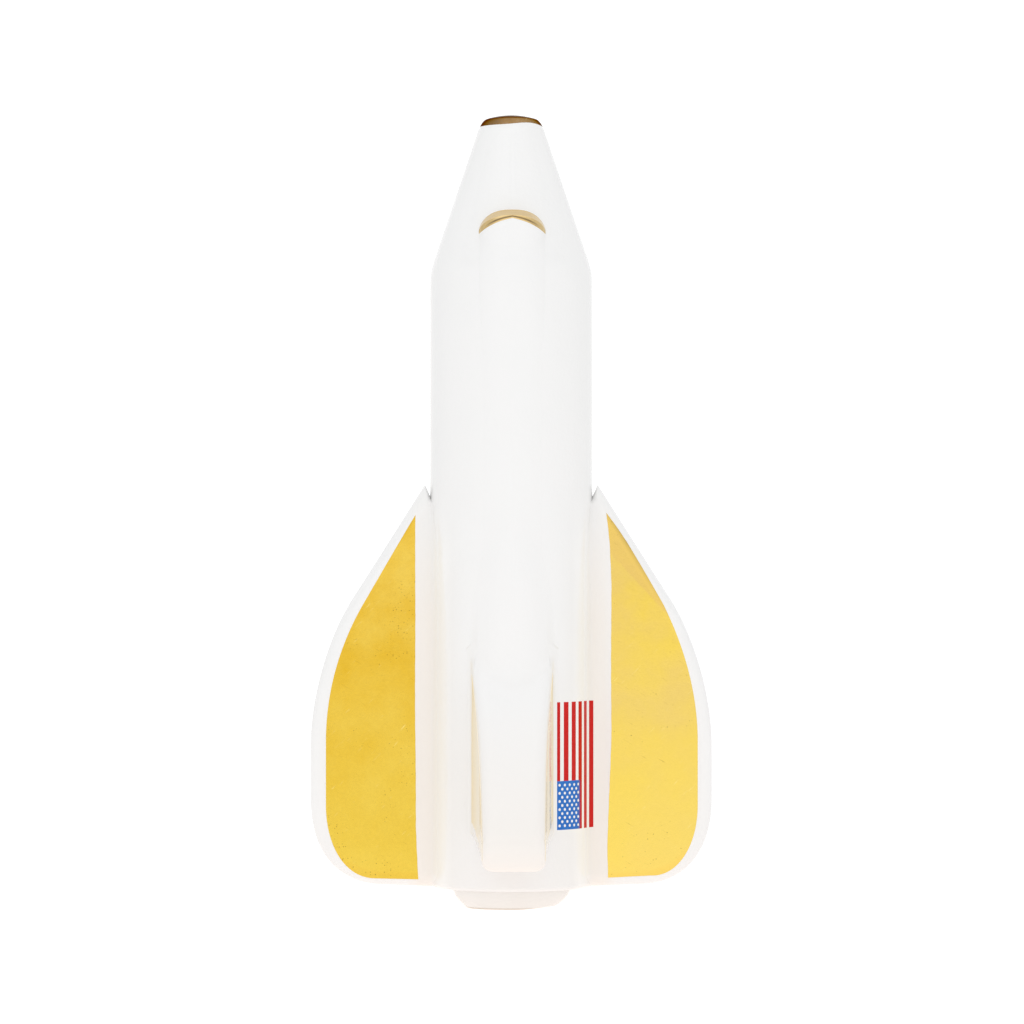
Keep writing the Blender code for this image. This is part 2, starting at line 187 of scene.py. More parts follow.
def close_rings(name, rings, smooth_deg=50.0):
    """Closed piece through a stack of rings, each end drawn together on its mean point."""
    rows, columns = rings.shape[:2]
    poles = np.stack([rings[0].mean(axis=0), rings[-1].mean(axis=0)])
    points = np.vstack([rings.reshape(-1, 3), poles])
    return make_piece(name, points, ring_faces(rows, columns), smooth_deg)


angle = np.linspace(0.0, 2 * np.pi, AROUND, endpoint=False)[None, :]
nose_rho = np.linspace(0.02, 1.0, 34)[:, None] ** 0.8 * nose_half


def nose_profile(rho):
    """Level of the nose at a half width: the shallow dome and the cone's line, rounded
    together where they meet."""
    dome = nose_level - rho**2 / (2 * dome_radius)
    cone = rim_level + (rim_half_width - rho) * cone_slope
    return soft_min(dome, cone, 5.0)


def nose_ring(rho, grow=0.0):
    """Outline of the nose at a half width, keeping the rim's proportions."""
    x, height = section(angle, rho + grow, rho * rim_crown / rim_half_width + grow,
                        rho * nose_belly / rim_half_width + grow)
    return to_points(x, height, nose_profile(rho) + grow)


def body_ring(level, grow=0.0):
    """Outline of the cone or barrel at a level, grown or shrunk all round."""
    run = cone_run(level)
    x, height = section(angle, half_width(level) + grow,
                        radius + run * (rim_crown - radius) + grow,
                        belly_depth + run * (nose_belly - belly_depth) + grow)
    return to_points(x, height + np.where(height > 0, seam_height(x, level), 0.0), level)


def spans(*parts):
    """Column of values spaced evenly over several spans, each with a start, an end and a count."""
    return np.concatenate([np.linspace(*part) for part in parts])[:, None]


levels = spans((294.4, 247.5, 30), (246.8, 234.0, 26), (231.0, 20.0, 46), (17.0, 9.2, 6))
turn = np.linspace(0.0, 0.5 * np.pi, 10)[:, None]
tail_round = 1.8
tuck = tail_round * (1 - np.cos(turn))
edge_x, edge_height = section(angle, radius - tuck, radius - tuck, belly_depth - tuck)
tail_edge = to_points(edge_x, edge_height, tail_level + tail_round * (1 - np.sin(turn)))

vent = to_points(vent_radius * np.cos(angle), axis_y - vent_y + vent_radius * np.sin(angle),
                 tail_level)
spread = np.linspace(0.15, 1.0, 7)[:, None, None]
tail_wall = tail_edge[-1] + spread * (vent[0] - tail_edge[-1])
bore = vent + np.array([0.0, 0.0, cast_wall]) * np.array([0.3, 0.7, 1.0])[:, None, None]
inner_levels = spans((tail_level + cast_wall, 236.0, 24), (240.0, 284.0, 12))
inner_wall = body_ring(inner_levels, -cast_wall)
inner_floor = bore[-1] + np.linspace(0.2, 0.85, 5)[:, None, None] * (inner_wall[0] - bore[-1])
inner_top = inner_wall[-1] * np.array([0.4, 1.0, 1.0]) + np.array([0.0, 0.0, 3.0])
inner_top[:, 1] = axis_y + 0.4 * (inner_top[:, 1] - axis_y)

fuselage = close_rings("fuselage", np.concatenate([
    nose_ring(nose_rho), body_ring(levels), tail_edge, tail_wall, bore, inner_floor,
    inner_wall, inner_top[None]]))
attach(fuselage, "root")
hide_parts("fuselage_shell")


def new_group(name, output, *inputs):
    """A node group with a place, some numbers as inputs and one number as output."""
    group = bpy.data.node_groups.new(name, "ShaderNodeTree")
    group.interface.new_socket("Place", in_out="INPUT", socket_type="NodeSocketVector")
    for label in inputs:
        group.interface.new_socket(label, in_out="INPUT", socket_type="NodeSocketFloat")
    group.interface.new_socket(output, in_out="OUTPUT", socket_type="NodeSocketFloat")
    return group, group.nodes.new("NodeGroupInput"), group.nodes.new("NodeGroupOutput")


def add(tree, kind, *links, **settings):
    """A shader node with settings, and links given as (socket of this node, output or value)."""
    node = tree.nodes.new("ShaderNode" + kind)
    for label, value in settings.items():
        setattr(node, label, value)
    for socket, value in links:
        if isinstance(value, bpy.types.NodeSocket):
            tree.links.new(value, node.inputs[socket])
        else:
            node.inputs[socket].default_value = value
    return node


def ramp(tree, value, low, high, start=0.0, end=1.0):
    """Remap a value from low..high to start..end, clamped."""
    node = add(tree, "MapRange", ("Value", value), ("From Min", low),
               ("From Max", high), ("To Min", start), ("To Max", end))
    return node.outputs[0]


def calc(tree, operation, a, b=0.0):
    """One arithmetic node."""
    return add(tree, "Math", (0, a), (1, b), operation=operation).outputs[0]


def specks():
    """Mask of sparse round specks: Voronoi cells, of which only a few are chosen at random."""
    group, given, result = new_group("sparse_specks", "Mask", "Scale", "Share", "Size")
    cells = add(group, "TexVoronoi", ("Vector", given.outputs["Place"]),
                ("Scale", given.outputs["Scale"]), ("Randomness", 1.0))
    pick = add(group, "SeparateColor", (0, cells.outputs["Color"]))
    chosen = calc(group, "LESS_THAN", pick.outputs[0], given.outputs["Share"])
    size = calc(group, "MULTIPLY", given.outputs["Size"], pick.outputs[1])
    edge = calc(group, "SUBTRACT", size, cells.outputs["Distance"])
    spot = add(group, "MapRange", ("Value", edge), ("From Min", 0.0),
               ("From Max", calc(group, "MULTIPLY", size, 0.5))).outputs[0]
    group.links.new(calc(group, "MULTIPLY", spot, chosen), result.inputs["Mask"])
    return group


def mottle():
    """Fractal noise between 0 and 1 with a chosen scale and contrast."""
    group, given, result = new_group("mottle", "Value", "Scale", "Contrast")
    noise = add(group, "TexNoise", ("Vector", given.outputs["Place"]),
                ("Scale", given.outputs["Scale"]), ("Detail", 5.0), ("Roughness", 0.6))
    centred = calc(group, "SUBTRACT", noise.outputs["Fac"], 0.5)
    value = calc(group, "MULTIPLY", centred, given.outputs["Contrast"])
    value = add(group, "Math", (0, value), (1, 0.5), operation="ADD", use_clamp=True)
    group.links.new(value.outputs[0], result.inputs["Value"])
    return group


speck_group = specks()
mottle_group = mottle()


def use_group(tree, group, place, **inputs):
    """Put a node group into a material and give its inputs."""
    node = add(tree, "Group", node_tree=group)
    tree.links.new(place, node.inputs["Place"])
    for label, value in inputs.items():
        node.inputs[label].default_value = value
    return node.outputs[0]


def mix(tree, factor, a, b):
    """Mix two colours."""
    a, b = ((*shade, 1.0) if isinstance(shade, tuple) else shade for shade in (a, b))
    node = add(tree, "Mix", ("Factor", factor), ("A", a), ("B", b), data_type="RGBA")
    return node.outputs["Result"]


def new_material(name, roughness, metallic=0.0):
    """A Principled material; returns it with its tree, shader and Object coordinates."""
    made = bpy.data.materials.new(name)
    made.use_nodes = True
    tree = made.node_tree
    shader = tree.nodes["Principled BSDF"]
    shader.inputs["Roughness"].default_value = roughness
    shader.inputs["Metallic"].default_value = metallic
    place = add(tree, "TexCoord").outputs["Object"]
    return made, tree, shader, place


def glaze_material(name, body, pooled, ripple):
    """Glossy white glaze: two close whites mottled together, a painted highlight on the barrel's
    flanks, a painted beige shade in the wing roots and low down the back and the fin, specks and a
    rippled surface. The lowest half millimetre is wiped bare."""
    painted_highlight, painted_warm_shade = (0.935, 0.940, 0.940), (0.870, 0.810, 0.745)
    iron, biscuit = (0.22, 0.19, 0.17), (0.66, 0.60, 0.53)
    made, tree, shader, place = new_material(name, 0.10)
    shader.inputs["IOR"].default_value = 1.38
    run = use_group(tree, mottle_group, place, Scale=26.0, Contrast=2.2)
    tint = mix(tree, run, body, pooled)
    parts = add(tree, "SeparateXYZ", (0, place)).outputs
    level = parts["Z"]
    out = calc(tree, "ABSOLUTE", parts["X"])
    # Painted warm shade: beige in the wing roots, strongest low down, and low on the back and the
    # fin near the tail.
    root = calc(tree, "MULTIPLY", ramp(tree, out, 0.0275, 0.0310), ramp(tree, out, 0.0400, 0.0350))
    root = calc(tree, "MULTIPLY", root, ramp(tree, level, 0.160, 0.110, 0.0, 0.6))
    edge = calc(tree, "MULTIPLY", ramp(tree, level, 0.080, 0.030, 0.0, 0.45),
                ramp(tree, parts["Y"], -0.018, -0.030))
    root = calc(tree, "MAXIMUM", root, edge)
    # Painted highlight: a lighter white on the barrel's flanks above the wing roots.
    flank = calc(tree, "MULTIPLY", ramp(tree, out, 0.0225, 0.0258), ramp(tree, out, 0.0298, 0.0282))
    flank = calc(tree, "MULTIPLY", flank, ramp(tree, level, 0.158, 0.130, 0.0, 0.75))
    tint = mix(tree, root, mix(tree, flank, tint, painted_highlight), painted_warm_shade)
    spots = use_group(tree, speck_group, place, Scale=75.0, Share=0.012, Size=0.045)
    tint = mix(tree, spots, tint, iron)
    bare = ramp(tree, level, 0.0008, 0.0004)
    tree.links.new(mix(tree, bare, tint, biscuit), shader.inputs["Base Color"])
    tree.links.new(ramp(tree, level, 0.0008, 0.0004, 0.10, 0.6), shader.inputs["Roughness"])
    wave = use_group(tree, mottle_group, place, Scale=55.0, Contrast=1.0)
    fine = use_group(tree, mottle_group, place, Scale=700.0, Contrast=1.0)
    surface = calc(tree, "ADD", wave, calc(tree, "MULTIPLY", fine, 0.012))
    bump = add(tree, "Bump", ("Strength", 1.0), ("Distance", ripple),
               ("Height", surface))
    tree.links.new(bump.outputs[0], shader.inputs["Normal"])
    return made


glaze = glaze_material("white_glaze", (0.865, 0.865, 0.862), (0.850, 0.852, 0.850), 0.00035)
fuselage.data.materials.append(glaze)

# ----------------------------------------------------------------------
# Canopy and spine. Press-moulded, luted on with slip along the back. The canopy's front is a
# steep rounded face; its roof runs aft almost level with the barrel, and rises again before the
# fin as a spreading fairing. Its border is sponged smooth, and the glaze fills the joint.

canopy_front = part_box("canopy_and_spine")[1].z / MM
spine_half = 12.6
arch_rise = 9.0
front_drop = 8.7                            # from the front's crown down to its corners


def canopy_outline(share):
    """Level of the canopy's front foot at a share q of its half width: a squarish round arch,
    front_drop (1 - (1 - q^2.6)^(1/1.8)) below its crown."""
    inside = np.minimum(share, 1.0)
    drop = front_drop * (1 - (1 - inside**2.6) ** (1 / 1.8))
    return canopy_front - 0.3 - drop - 12.0 * (share - inside)


def canopy_height(x, level):
    """Height of the canopy over the axis: an arch, crown - rise (1 - sqrt(1 - q^2.6)) on the
    share q of its half width, cut off by a steep face that follows the rounded front."""
    crown = radius + 0.75 - 1.9 * (np.clip(level - 225.0, 0.0, 40.0) / 35.8) ** 2
    share = np.abs(x) / spine_half
    inside = np.minimum(share, 0.97)
    fall = 1 - np.sqrt(1 - inside**2.6)
    slope = 2.6 * inside**1.6 / (2 * np.sqrt(1 - inside**2.6))
    arch = crown - arch_rise * (fall + slope * (share - inside))
    face = back_height(x, level) + 2.0 * (canopy_outline(share) - level)
    return soft_min(arch, face, 0.7)


def fairing_height(x, level):
    """Height over the axis of the fairing ahead of the fin: a gently crowned ramp that rises and
    spreads towards the tail, with flanks that fall away."""
    aft = np.clip((166.0 - level) / 80.0, 0.0, 1.1)
    top = radius - 0.4 + 3.2 * aft**1.25
    outside = 2.6 * np.logaddexp(0.0, (np.abs(x) - 12.4 * aft) / 2.6)
    return top - x * x / 90.0 - 0.9 * outside


def dorsal_height(x, level):
    """Height of the back with the canopy and the fairing on it: the largest of them, blended by
    fillets that are small round the windscreen and wide elsewhere. What they add fades out under
    the fin and at the border of the pressing."""
    fillet = 0.8 + 4.0 * ease((254.0 - level) / 16.0)
    bare = back_height(x, level)
    joined = soft_max(bare, canopy_height(x, level) - 3.0 * ease((247.0 - level) / 48.0), fillet)
    joined = soft_max(joined, fairing_height(x, level) - 0.3 * np.maximum(level - 158.0, 0.0), 5.0)
    inside = ease((16.4 - np.abs(x)) / 3.6)
    return bare + (joined - bare) * ease((level - 72.0) / 9.0) * inside


def close_sheets(name, upper, lower, smooth_deg=50.0):
    """Closed piece between two grids of points that have the same rows and columns."""
    rows, columns = upper.shape[:2]
    index = np.arange(rows * columns).reshape(rows, columns)
    quads = np.stack([index[:-1, :-1], index[:-1, 1:], index[1:, 1:], index[1:, :-1]],
                     axis=-1).reshape(-1, 4)
    under = quads[:, ::-1] + rows * columns
    border = np.concatenate([index[0, :-1], index[:-1, -1], index[-1, :0:-1], index[:0:-1, 0]])
    after = np.roll(border, -1)
    sides = np.stack([after, border, border + rows * columns, after + rows * columns], axis=1)
    points = np.vstack([upper.reshape(-1, 3), lower.reshape(-1, 3)])
    return make_piece(name, points, np.vstack([quads, under, sides]), smooth_deg)


spine_x = np.linspace(-17.5, 17.5, 181)[None, :]
spine_levels = spans((74.0, 100.0, 30), (101.5, 240.0, 76), (241.0, 252.0, 16),
                     (252.3, 264.5, 74))
bare = back_height(spine_x, spine_levels)
raised = dorsal_height(spine_x, spine_levels)
sunk = 0.35 * (1 - ease((raised - bare) / 0.04)) + 0.015
spine = close_sheets("spine", to_points(spine_x, raised - sunk, spine_levels),
                     to_points(spine_x, bare - 1.2, spine_levels))
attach(spine, "root")
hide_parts("canopy_and_spine")
spine.data.materials.append(glaze)

# ----------------------------------------------------------------------
# Tail fin. A thick slab with enough draft to leave its mould, luted on behind the spine. The
# leading edge is swept and flat across, its corners are rounded, and its flanks flare at the root.

fin_tip = axis_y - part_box("tail_fin")[0].y / MM
fin_half = 11.3                             # half width well clear of the back
root_flare = 4.2                            # what it gains 27 mm over the axis
fin_corner = 4.4                            # radius of the corners across the fin
corner_front, corner_rear = 7.0, 3.4        # and along it


def cubic(t, a, b, c, d):
    """Cubic curve from a to d, t = 0 to 1, with the handles b and c."""
    return (1 - t) ** 3 * a + 3 * (1 - t) ** 2 * t * b + 3 * (1 - t) * t**2 * c + t**3 * d


def bezier(*corners, steps=160):
    """Points of the cubic curve on a start, two handles and an end."""
    return cubic(np.linspace(0.0, 1.0, steps)[:, None], *np.array(corners, float))


tip_curve = bezier((67.0, 31.0), (70.0, 25.5), (68.8, 16.0), (62.0, 17.6))
tip_turn = int(np.argmax(tip_curve[:, 0]))
fin_peak = tip_curve[tip_turn, 0]
leading_edge = np.vstack([[(20.0, 115.0)],
                          bezier((32.5, 88.0), (38.5, 75.0), (54.0, 51.0), (67.0, 31.0)),
                          tip_curve[1:tip_turn + 1]])
trailing_edge = np.vstack([[(20.0, 30.0)],
                           bezier((24.0, 28.2), (36.0, 21.5), (50.0, 19.5), (62.0, 17.6)),
                           tip_curve[-2:tip_turn - 1:-1]])
fin_scale = fin_tip / fin_peak

ARC = 14
quarter = np.linspace(0.0, 0.5 * np.pi, ARC)
run_z = np.linspace(0.0, 1.0, 42)[1:-1]


def fin_columns():
    """Places round the outline: the right half from the middle of the rear to the middle of the
    front, then the left half back again. Each has a share of the width, a turn round a corner
    across and along the fin, a share of the length (0 rear, 1 front) and a side."""
    across = np.linspace(0.0, 1.0, 14)[:-1]
    begin, finish = np.sin(quarter), np.cos(quarter)
    parts = [(across, 0, 1, 0, 1), (1, begin, finish, 0, 1), (1, 1, 0, run_z, 1),
             (1, finish, begin, 1, 1), (across[::-1], 0, 1, 1, 1)]
    right = np.concatenate([np.stack(np.broadcast_arrays(*part)) for part in parts], axis=1)
    left = right[:, -2:0:-1] * [[1], [1], [1], [1], [-1]]
    return np.concatenate([right, left], axis=1)


fin_width_share, fin_turn_x, fin_turn_z, fin_length_share, fin_side = fin_columns()


def fin_outline(height):
    """Outline of the fin at a height over the axis: a rectangle between the trailing and the
    leading edge, with elliptical corners. The half width falls off exponentially with height."""
    front = np.interp(height / fin_scale, leading_edge[:, 0], leading_edge[:, 1])
    rear = np.interp(height / fin_scale, trailing_edge[:, 0], trailing_edge[:, 1])
    half_length = 0.5 * (front - rear)
    front_corner = np.minimum(corner_front, 0.9 * half_length)
    rear_corner = np.minimum(corner_rear, 0.9 * half_length)
    start, end = rear + rear_corner, front - front_corner
    is_front = fin_length_share >= 1.0
    is_rear = fin_length_share <= 0.0
    level = start + fin_length_share * (end - start)
    level = level + np.where(is_front, front_corner * fin_turn_z, 0.0)
    level = level - np.where(is_rear, rear_corner * fin_turn_z, 0.0)
    near_tip = np.clip((height - fin_tip + 3.0) / 3.0, 0.0, 1.0)
    tip_rounding = 2.4 * (1 - np.sqrt(1 - near_tip**2))
    width = fin_half + root_flare * np.exp((27.0 - height) / 15.0) - tip_rounding
    x = fin_side * (fin_width_share * (width - fin_corner) + fin_corner * fin_turn_x)
    return x, level


# The root line, where the outline meets the back, is found by going to and fro between the two.
root = np.full(fin_side.size, 30.0)
for _ in range(12):
    root_x, root_level = fin_outline(root)
    root = 0.5 * root + 0.5 * dorsal_height(root_x, root_level)
root_x, root_level = fin_outline(root)
step_x = np.roll(root_x, -1) - np.roll(root_x, 1)
step_z = np.roll(root_level, -1) - np.roll(root_level, 1)
step = np.hypot(step_x, step_z) + 1e-9
out_x, out_z = step_z / step, -step_x / step
if np.sum(out_x * root_x) < 0:
    out_x, out_z = -out_x, -out_z
toward_nose = np.maximum(out_z, 0.0) ** 6
reach = 1.6 + 9.0 * toward_nose
lift = 1.4 + 2.2 * toward_nose
contact_x = root_x + reach * out_x
contact_z = root_level + reach * out_z
contact = dorsal_height(contact_x, contact_z)
start = root + lift
start_x, start_level = fin_outline(start)


def fin_fillet(t):
    """Cubic curve from the back, which it leaves flat, to the fin's flank."""
    handle_x = contact_x + 0.6 * (root_x - contact_x)
    handle_z = contact_z + 0.6 * (root_level - contact_z)
    handle = dorsal_height(handle_x, handle_z)
    low_x, low_level = fin_outline(start - 0.6 * lift)
    return (cubic(t, contact_x, handle_x, low_x, start_x),
            cubic(t, contact, handle, start - 0.6 * lift, start),
            cubic(t, contact_z, handle_z, low_level, start_level))


def fin_wall(v):
    """Flank, edges and tip: the outlines from the fillet's top to the peak, v = 0 to 1."""
    height = start + (fin_tip - start) * v
    x, level = fin_outline(height)
    return x, height, level


fillet_steps = np.linspace(0.0, 1.0, 10)[:, None]
wall_steps = np.sin(0.5 * np.pi * np.linspace(0.0, 1.0, 96)[1:, None])
fin_sink = np.array([[1.6], [0.03]])
buried = to_points(contact_x, contact - fin_sink, contact_z)
fin_rings = np.concatenate([buried, to_points(*fin_fillet(fillet_steps[1:])),
                            to_points(*fin_wall(wall_steps))])
fin = close_rings("fin", fin_rings, 60.0)
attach(fin, "root")
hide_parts("tail_fin")
fin.data.materials.append(glaze)

# ----------------------------------------------------------------------
# Wings. Cropped deltas press-moulded about 8 mm thick, with a small horn that springs forward
# beside the barrel. They are luted on with a generous fillet over the top; edges are sponged
# round, and underneath they run nearly flush with the belly.

wing_low, wing_high = (np.array(corner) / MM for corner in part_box("right_wing"))
wing_span = wing_high[0]
wing_top = axis_y - wing_low[1]
wing_aft = wing_low[2]
horn = (wing_span * 0.4304, wing_high[2])
notch = (wing_span * 0.399, wing_high[2] - 5.6)
leading_end = (wing_span * 0.7782, wing_high[2] - 41.8)
rim = 5.2                                   # how far in from the edge the rounding reaches
root_fillet = 10.5

front_curve = np.vstack([bezier((wing_span, 60.0), (wing_span, 79.0), (69.4, 102.9), leading_end),
                         [horn]])
tail_curve = np.vstack([[(20.0, wing_aft - 0.3)], [(49.5, wing_aft + 0.9)],
                        bezier((49.5, wing_aft + 0.9), (65.5, wing_aft + 1.5),
                               (wing_span - 0.3, 19.5), (wing_span, 40.0))[1:]])
edge_curve = np.vstack([tail_curve, front_curve])


def wing_edge_x(level):
    """Outboard edge of the wing at a level."""
    return np.interp(level, edge_curve[:, 1], edge_curve[:, 0])


def wing_front_level(x):
    """Leading edge at a distance from the mid-plane, and the horn's inner edge down to the
    notch beside the barrel."""
    outer = np.interp(x, front_curve[::-1, 0], front_curve[::-1, 1])
    inner = notch[1] + (x - notch[0]) * (horn[1] - notch[1]) / (horn[0] - notch[0])
    inner = np.maximum(inner, notch[1] + 3.0 * (notch[0] - x))
    return np.where(x < horn[0], np.minimum(inner, horn[1] - 0.1), outer)


def wing_tail_level(x):
    """Trailing edge at a distance from the mid-plane."""
    return np.interp(x, tail_curve[:, 0], tail_curve[:, 1])


def wing_rounding(x, level):
    """Share of the full thickness: 1 inside, falling as a quarter circle to 0 at the edge. The
    distance to the edge is the inverse root of the summed inverse squares of the distances
    measured along x and z, which is exact for a straight edge. The horn's inner edge is sharper."""
    inner = np.where(level > notch[1],
                     notch[0] + (level - notch[1]) * (horn[0] - notch[0]) / (horn[1] - notch[1]),
                     notch[0] - 4.0 * (notch[1] - level))
    sharper = 1.0 + 2.0 * ease((horn[0] - x) / 1.5)
    gaps = [wing_edge_x(level) - x, (wing_front_level(x) - level) * sharper,
            level - wing_tail_level(x), 3.0 * (x - np.maximum(inner, 8.0))]
    total = sum(1 / np.maximum(gap, 1e-4) ** 2 for gap in gaps)
    share = np.clip(1 / np.sqrt(total) / rim, 0.0, 1.0)
    return (1 - (1 - share) ** 2.2) ** (1 / 2.1)


def wing_middle(x):
    """Height of the wing's middle plane: the underside rises towards the tip."""
    thickness = np.interp(x, [20.0, wing_span], [10.5, 7.5])
    return wing_top - 0.5 * thickness


def wing_top_height(x, level):
    """Upper face: flat, with a circular fillet up to the half-round back. The fillet circle
    touches both and shrinks to nothing at the notch."""
    r = 0.6 + (root_fillet - 0.6) * ease((notch[1] - 1.0 - level) / 22.0)
    centre = np.sqrt((radius + r) ** 2 - (wing_top + r) ** 2)
    touch = centre * radius / (radius + r)
    along = np.clip(centre - np.maximum(x, touch), 0.0, r)
    plate = wing_top + r - np.sqrt(r * r - along * along)
    plate = plate - 0.03 * ease((touch + 1.2 - x) / 1.2)
    middle = wing_middle(x)
    return middle + (plate - middle) * wing_rounding(x, level)


def wing_under_height(x, level):
    """Underside, blended with the flat belly."""
    middle = wing_middle(x)
    plate = wing_top - 2 * (wing_top - middle)
    belly = -belly_depth * (1 - np.clip(x / radius, 0.0, 1.0) ** 3.4) ** (1 / 3.4)
    joined = soft_min(plate, belly, 1.2) + 0.05 * ease((27.0 - x) / 3.0)
    return middle + (joined - middle) * wing_rounding(x, level)


def wing_grid():
    """Rows along the chord, closer at the edges; columns out to the tip, closer at the fillet
    and at the tip."""
    tip_turn_in = np.linspace(0.0, 0.5 * np.pi, 34)
    x = np.concatenate([np.linspace(19.0, 27.5, 9), np.linspace(27.9, 37.0, 60),
                        np.linspace(37.8, 68.0, 48),
                        68.5 + (wing_span - 0.003 - 68.5) * np.sin(tip_turn_in)])[None, :]
    tail, front = wing_tail_level(x), wing_front_level(x)
    inset = 1 - np.cos(np.linspace(0.0, 0.5 * np.pi, 18))[:, None]
    near_tail = tail + 5.6 * inset
    near_front = front - 10.4 * inset[::-1]
    middle = np.linspace(0.0, 1.0, 92)[1:-1, None]
    between = near_tail[-1] + middle * (near_front[0] - near_tail[-1])
    return np.broadcast_arrays(x, np.vstack([near_tail, between, near_front]))


wing_x, wing_levels = wing_grid()
upper_height = wing_top_height(wing_x, wing_levels)
lower_height = np.minimum(wing_under_height(wing_x, wing_levels), upper_height - 0.01)
for name, side in (("left", -1.0), ("right", 1.0)):
    wing = close_sheets(name + "_wing_porcelain",
                        to_points(side * wing_x, upper_height, wing_levels),
                        to_points(side * wing_x, lower_height, wing_levels), 75.0)
    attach(wing, "root")
    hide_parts(name + "_wing")
    wing.data.materials.append(glaze)

# ----------------------------------------------------------------------
# Foot. A short tapering plinth luted under the tail. Its glaze is wiped from the standing face
# so that it doesn't stick to the kiln shelf, and the vent runs up through it.

foot_width, foot_depth, foot_top = np.array(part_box("tail_foot")[1]) / MM
foot_level = foot_top + 0.8                 # it is luted a little way into the tail
foot_taper = 5.2


def foot_ring(level, inset=0.0):
    """Outline at a level: a rounded rectangle, rounder on the belly's side. The half width falls
    short of the top's by foot_taper (1 - level / top)^1.9, which swells the side."""
    below = 1 - np.clip(level / foot_level, 0.0, 1.0)
    short = below**1.9
    cosine, sine = np.cos(angle), np.sin(angle)
    power = np.where(sine < 0, 0.85, 0.5)
    x = (foot_width - foot_taper * short - inset) * np.sign(cosine) * np.abs(cosine) ** power
    y = (foot_depth - 3.4 * short - inset) * np.sign(sine) * np.abs(sine) ** power
    rise = 0.8 * ease((x - 1.0) / 15.0) * below
    return np.stack(np.broadcast_arrays(x, y, level + rise), axis=-1)


swell = np.linspace(0.0, 1.0, 22)[:, None]
outer_foot = foot_ring(0.55 + (foot_level - 0.95) * swell)
foot_turn = np.linspace(0.15, 1.0, 7)[:, None] * 0.5 * np.pi
base_edge = foot_ring(0.55 * (1 - np.sin(foot_turn)), 0.55 * (1 - np.cos(foot_turn)))
top_edge = foot_ring(foot_level - 0.4 * (1 - np.sin(foot_turn)), 0.4 * (1 - np.cos(foot_turn)))
hole = np.stack([vent_radius * np.cos(angle[0]), vent_y + vent_radius * np.sin(angle[0]),
                 0.0 * angle[0]], axis=-1)
inward = np.linspace(0.2, 1.0, 6)[:, None, None]
base_face = base_edge[-1] + inward * (hole - base_edge[-1])
hole_wall = hole + np.linspace(0.1, 0.9, 4)[:, None, None] * np.array([0.0, 0.0, foot_level])
hole_top = hole + np.array([0.0, 0.0, foot_level])
top_face = hole_top + np.linspace(0.0, 0.85, 6)[:, None, None] * (top_edge[-1] - hole_top)
foot_rings = np.concatenate([outer_foot[::-1], base_edge, base_face, hole_wall, top_face,
                             top_edge[::-1]])
foot = make_piece("foot", foot_rings, ring_faces(*foot_rings.shape[:2], looped=True))
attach(foot, "root")
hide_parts("tail_foot")
# The foot's whites are darker and more beige than the body's: painted shade low down by the table.
foot.data.materials.append(
    glaze_material("foot_glaze", (0.85, 0.84, 0.825), (0.81, 0.795, 0.77), 0.0004))

# ----------------------------------------------------------------------
# Nose gilding. Gold lustre, a film of gold fired on over the glaze, brushed over the domed tip
# down to a wavering line. Here the metal is coloured a dark brown.

FILM = 0.05                                 # how far it stands above the glaze, and sinks in
brush_line = 11.78


def gilded_nose(share, film):
    """The nose's own surface from the tip (share 0) down to the brush line (share 1), which sags
    at the quarters and wavers five times round."""
    aside = np.cos(angle)
    sag = 0.12 * aside**4 - 0.6 * aside * (1 - aside**2)
    return nose_ring(share * (brush_line + sag + 0.05 * np.sin(5 * angle)), film)


reach_out = np.linspace(0.03, 1.0, 30)[:, None] ** 0.8
nose_gold = close_rings("nose_gold", np.concatenate([gilded_nose(reach_out, FILM),
                                                     gilded_nose(reach_out[::-1], -FILM)]))
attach(nose_gold, "root")
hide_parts("nose_gilding")


def gold_material(name, rich, thin, low, roughness, patch, pits, grain=0.10):
    """Metal that goes from a rich to a thin gold with the mottle, lightens towards the tail, and
    is pitted in patches. Stretched noise, cut off near its peaks, stands for fine scratches."""
    pit, grain_dark = (0.14, 0.07, 0.01), (0.30, 0.16, 0.02)
    scratches = ((0.55, (0.38, 0.24, 0.04)), (-0.8, (0.98, 0.84, 0.40)))
    made, tree, shader, place = new_material(name, roughness, 1.0)
    cloud = use_group(tree, mottle_group, place, Scale=34.0, Contrast=patch)
    tint = mix(tree, cloud, rich, thin)
    parts = add(tree, "SeparateXYZ", (0, place)).outputs
    tint = mix(tree, ramp(tree, parts["Z"], 0.12, 0.015, 0.0, 0.75), tint, low)
    speckle = use_group(tree, mottle_group, place, Scale=1100.0, Contrast=2.4)
    tint = mix(tree, ramp(tree, speckle, 0.0, 1.0, grain, 0.0), tint, grain_dark)
    holes = use_group(tree, speck_group, place, Scale=950.0, Share=pits, Size=0.34)
    flock = use_group(tree, mottle_group, place, Scale=38.0, Contrast=3.5)
    holes = calc(tree, "MULTIPLY", holes, ramp(tree, flock, 0.45, 0.8, 0.0, 0.6))
    tint = mix(tree, holes, tint, pit)
    for turn, shade in scratches:
        along = add(tree, "Mapping", ("Vector", place), ("Rotation", (0.0, turn, 0.0)),
                    ("Scale", (1.0, 1.0, 0.05)), vector_type="TEXTURE")
        hair = use_group(tree, mottle_group, along.outputs[0], Scale=120.0, Contrast=1.6)
        tint = mix(tree, ramp(tree, hair, 0.78, 0.86, 0.0, 0.45), tint, shade)
    tree.links.new(tint, shader.inputs["Base Color"])
    rubs = use_group(tree, mottle_group, place, Scale=260.0, Contrast=1.6)
    tree.links.new(ramp(tree, rubs, 0.0, 1.0, roughness * 0.8, roughness * 1.5),
                   shader.inputs["Roughness"])
    height = calc(tree, "ADD", calc(tree, "MULTIPLY", rubs, 0.25), cloud)
    bump = add(tree, "Bump", ("Strength", 0.6), ("Distance", 0.00012),
               ("Height", height))
    tree.links.new(bump.outputs[0], shader.inputs["Normal"])
    return made


